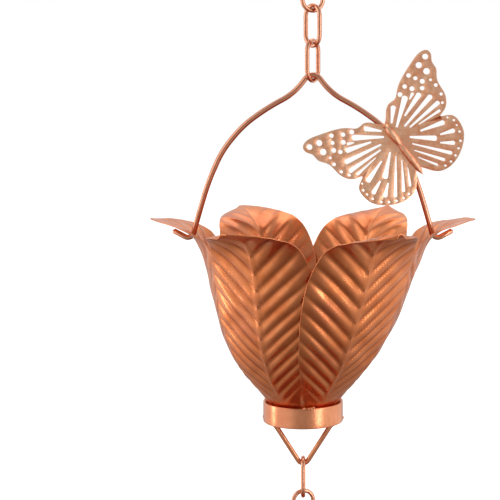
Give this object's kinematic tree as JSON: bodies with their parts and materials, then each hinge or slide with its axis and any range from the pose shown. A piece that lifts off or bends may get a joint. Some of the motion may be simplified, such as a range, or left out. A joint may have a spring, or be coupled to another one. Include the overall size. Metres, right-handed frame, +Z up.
{
  "type": "rain chain",
  "caption": "Hanging chain of petalled copper cups with cut-out butterflies, on a V-shaped gutter hook, that leads rain water down from a gutter.",
  "frame": {"origin": "midway between the gutter hook's two feet, on the plane that they rest on", "axes": "+Z up along the hanging chain, X along the hook's span from foot to foot, the front faces -Y"},
  "size_m": [0.1652, 0.1522, 2.5822],
  "materials": {
    "petal_copper": "satin pressed copper sheet",
    "collar_copper": "polished copper tube",
    "wire_copper": "bright drawn copper wire",
    "cut_copper": "satin cut copper sheet",
    "aged_copper": "darker brushed copper"
  },
  "bodies": {
    "hook": {"gutter_hook": "aged_copper"},
    "ring": {"hook_ring": "aged_copper"},
    "links_10": {"links_10": "wire_copper"},
    "bail_10": {"bail_10": "wire_copper", "butterfly_10": "cut_copper"},
    "cup_10": {"petals_10": "petal_copper", "collar_10": "collar_copper"},
    "links_09": {"links_09": "wire_copper"},
    "bail_09": {"bail_09": "wire_copper", "butterfly_09": "cut_copper"},
    "cup_09": {"petals_09": "petal_copper", "collar_09": "collar_copper"},
    "links_08": {"links_08": "wire_copper"},
    "bail_08": {"bail_08": "wire_copper", "butterfly_08": "cut_copper"},
    "cup_08": {"petals_08": "petal_copper", "collar_08": "collar_copper"},
    "links_07": {"links_07": "wire_copper"},
    "bail_07": {"bail_07": "wire_copper", "butterfly_07": "cut_copper"},
    "cup_07": {"petals_07": "petal_copper", "collar_07": "collar_copper"},
    "links_06": {"links_06": "wire_copper"},
    "bail_06": {"bail_06": "wire_copper", "butterfly_06": "cut_copper"},
    "cup_06": {"petals_06": "petal_copper", "collar_06": "collar_copper"},
    "links_05": {"links_05": "wire_copper"},
    "bail_05": {"bail_05": "wire_copper", "butterfly_05": "cut_copper"},
    "cup_05": {"petals_05": "petal_copper", "collar_05": "collar_copper"},
    "links_04": {"links_04": "wire_copper"},
    "bail_04": {"bail_04": "wire_copper", "butterfly_04": "cut_copper"},
    "cup_04": {"petals_04": "petal_copper", "collar_04": "collar_copper"},
    "links_03": {"links_03": "wire_copper"},
    "bail_03": {"bail_03": "wire_copper", "butterfly_03": "cut_copper"},
    "cup_03": {"petals_03": "petal_copper", "collar_03": "collar_copper"},
    "links_02": {"links_02": "wire_copper"},
    "bail_02": {"bail_02": "wire_copper", "butterfly_02": "cut_copper"},
    "cup_02": {"petals_02": "petal_copper", "collar_02": "collar_copper"},
    "links_01": {"links_01": "wire_copper"},
    "bail_01": {"bail_01": "wire_copper", "butterfly_01": "cut_copper"},
    "cup_01": {"petals_01": "petal_copper", "collar_01": "collar_copper"}
  },
  "joints": [
    {"name": "ring_swing", "type": "hinge", "parent": "hook", "child": "ring", "pos_m": [0, 0, -0.079], "axis": [1, 0, 0], "range_deg": [-20, 20]},
    {"name": "unit_10_links_swing", "type": "hinge", "parent": "ring", "child": "links_10", "pos_m": [0, 0, -0.09328], "axis": [1, 0, 0], "range_deg": [-25, 25]},
    {"name": "unit_10_bail_swing", "type": "hinge", "parent": "links_10", "child": "bail_10", "pos_m": [0, 0, -0.10978], "axis": [0, 1, 0], "range_deg": [-20, 20]},
    {"name": "unit_10_cup_tip", "type": "hinge", "parent": "bail_10", "child": "cup_10", "pos_m": [0, 0, -0.1851], "axis": [-1, 0, 0], "range_deg": [-20, 20]},
    {"name": "unit_09_links_swing", "type": "hinge", "parent": "cup_10", "child": "links_09", "pos_m": [0, 0, -0.30107], "axis": [-1, 0, 0], "range_deg": [-25, 25]},
    {"name": "unit_09_bail_swing", "type": "hinge", "parent": "links_09", "child": "bail_09", "pos_m": [0, 0, -0.36852], "axis": [0, -1, 0], "range_deg": [-20, 20]},
    {"name": "unit_09_cup_tip", "type": "hinge", "parent": "bail_09", "child": "cup_09", "pos_m": [0, 0, -0.44383], "axis": [1, 0, 0], "range_deg": [-20, 20]},
    {"name": "unit_08_links_swing", "type": "hinge", "parent": "cup_09", "child": "links_08", "pos_m": [0, 0, -0.5598], "axis": [1, 0, 0], "range_deg": [-25, 25]},
    {"name": "unit_08_bail_swing", "type": "hinge", "parent": "links_08", "child": "bail_08", "pos_m": [0, 0, -0.62725], "axis": [0, 1, 0], "range_deg": [-20, 20]},
    {"name": "unit_08_cup_tip", "type": "hinge", "parent": "bail_08", "child": "cup_08", "pos_m": [0, 0, -0.70257], "axis": [-1, 0, 0], "range_deg": [-20, 20]},
    {"name": "unit_07_links_swing", "type": "hinge", "parent": "cup_08", "child": "links_07", "pos_m": [0, 0, -0.81854], "axis": [-1, 0, 0], "range_deg": [-25, 25]},
    {"name": "unit_07_bail_swing", "type": "hinge", "parent": "links_07", "child": "bail_07", "pos_m": [0, 0, -0.88599], "axis": [0, -1, 0], "range_deg": [-20, 20]},
    {"name": "unit_07_cup_tip", "type": "hinge", "parent": "bail_07", "child": "cup_07", "pos_m": [0, 0, -0.96131], "axis": [1, 0, 0], "range_deg": [-20, 20]},
    {"name": "unit_06_links_swing", "type": "hinge", "parent": "cup_07", "child": "links_06", "pos_m": [0, 0, -1.07728], "axis": [1, 0, 0], "range_deg": [-25, 25]},
    {"name": "unit_06_bail_swing", "type": "hinge", "parent": "links_06", "child": "bail_06", "pos_m": [0, 0, -1.14473], "axis": [0, 1, 0], "range_deg": [-20, 20]},
    {"name": "unit_06_cup_tip", "type": "hinge", "parent": "bail_06", "child": "cup_06", "pos_m": [0, 0, -1.22005], "axis": [-1, 0, 0], "range_deg": [-20, 20]},
    {"name": "unit_05_links_swing", "type": "hinge", "parent": "cup_06", "child": "links_05", "pos_m": [0, 0, -1.33602], "axis": [-1, 0, 0], "range_deg": [-25, 25]},
    {"name": "unit_05_bail_swing", "type": "hinge", "parent": "links_05", "child": "bail_05", "pos_m": [0, 0, -1.38657], "axis": [-0.8988, 0.4384, 0], "range_deg": [-20, 20]},
    {"name": "unit_05_cup_tip", "type": "hinge", "parent": "bail_05", "child": "cup_05", "pos_m": [0, 0, -1.46189], "axis": [0.4384, 0.8988, 0], "range_deg": [-20, 20]},
    {"name": "unit_04_links_swing", "type": "hinge", "parent": "cup_05", "child": "links_04", "pos_m": [0, 0, -1.57786], "axis": [0.4384, 0.8988, 0], "range_deg": [-25, 25]},
    {"name": "unit_04_bail_swing", "type": "hinge", "parent": "links_04", "child": "bail_04", "pos_m": [0, 0, -1.64531], "axis": [0, 1, 0], "range_deg": [-20, 20]},
    {"name": "unit_04_cup_tip", "type": "hinge", "parent": "bail_04", "child": "cup_04", "pos_m": [0, 0, -1.72062], "axis": [-1, 0, 0], "range_deg": [-20, 20]},
    {"name": "unit_03_links_swing", "type": "hinge", "parent": "cup_04", "child": "links_03", "pos_m": [0, 0, -1.83659], "axis": [-1, 0, 0], "range_deg": [-25, 25]},
    {"name": "unit_03_bail_swing", "type": "hinge", "parent": "links_03", "child": "bail_03", "pos_m": [0, 0, -1.90404], "axis": [0, -1, 0], "range_deg": [-20, 20]},
    {"name": "unit_03_cup_tip", "type": "hinge", "parent": "bail_03", "child": "cup_03", "pos_m": [0, 0, -1.97936], "axis": [1, 0, 0], "range_deg": [-20, 20]},
    {"name": "unit_02_links_swing", "type": "hinge", "parent": "cup_03", "child": "links_02", "pos_m": [0, 0, -2.09533], "axis": [1, 0, 0], "range_deg": [-25, 25]},
    {"name": "unit_02_bail_swing", "type": "hinge", "parent": "links_02", "child": "bail_02", "pos_m": [0, 0, -2.16278], "axis": [0.5, 0.866, 0], "range_deg": [-20, 20]},
    {"name": "unit_02_cup_tip", "type": "hinge", "parent": "bail_02", "child": "cup_02", "pos_m": [0, 0, -2.2381], "axis": [-1, 0, 0], "range_deg": [-20, 20]},
    {"name": "unit_01_links_swing", "type": "hinge", "parent": "cup_02", "child": "links_01", "pos_m": [-0.005, 0, -2.35407], "axis": [-1, 0, 0], "range_deg": [-25, 25]},
    {"name": "unit_01_bail_swing", "type": "hinge", "parent": "links_01", "child": "bail_01", "pos_m": [-0.005, 0, -2.38772], "axis": [-0.9397, -0.342, 0], "range_deg": [-20, 20]},
    {"name": "unit_01_cup_tip", "type": "hinge", "parent": "bail_01", "child": "cup_01", "pos_m": [-0.005, 0, -2.46304], "axis": [0.6428, -0.766, 0], "range_deg": [-20, 20]}
  ]
}
